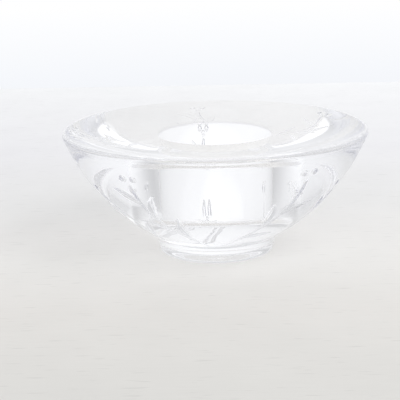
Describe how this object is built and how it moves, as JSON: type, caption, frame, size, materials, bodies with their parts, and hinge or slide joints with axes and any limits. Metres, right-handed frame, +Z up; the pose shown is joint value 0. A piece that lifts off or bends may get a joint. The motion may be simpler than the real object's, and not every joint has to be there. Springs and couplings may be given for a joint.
{
  "type": "glass tealight holder",
  "caption": "Heavy round bowl of clear cast glass with a wide dished top, a central well for one tealight, a short round foot and a plant design in low relief round its wall.",
  "frame": {"origin": "middle of the foot, on the surface that the holder stands on", "axes": "+Z up along the bowl's axis; +Y away from the side that the picture shows, +X to its right"},
  "size_m": [0.112, 0.112, 0.046],
  "materials": {
    "clear_glass": "clear, colourless, fire-polished cast glass with raised lines"
  },
  "bodies": {
    "root": {"glass_body": "clear_glass"}
  },
  "joints": []
}
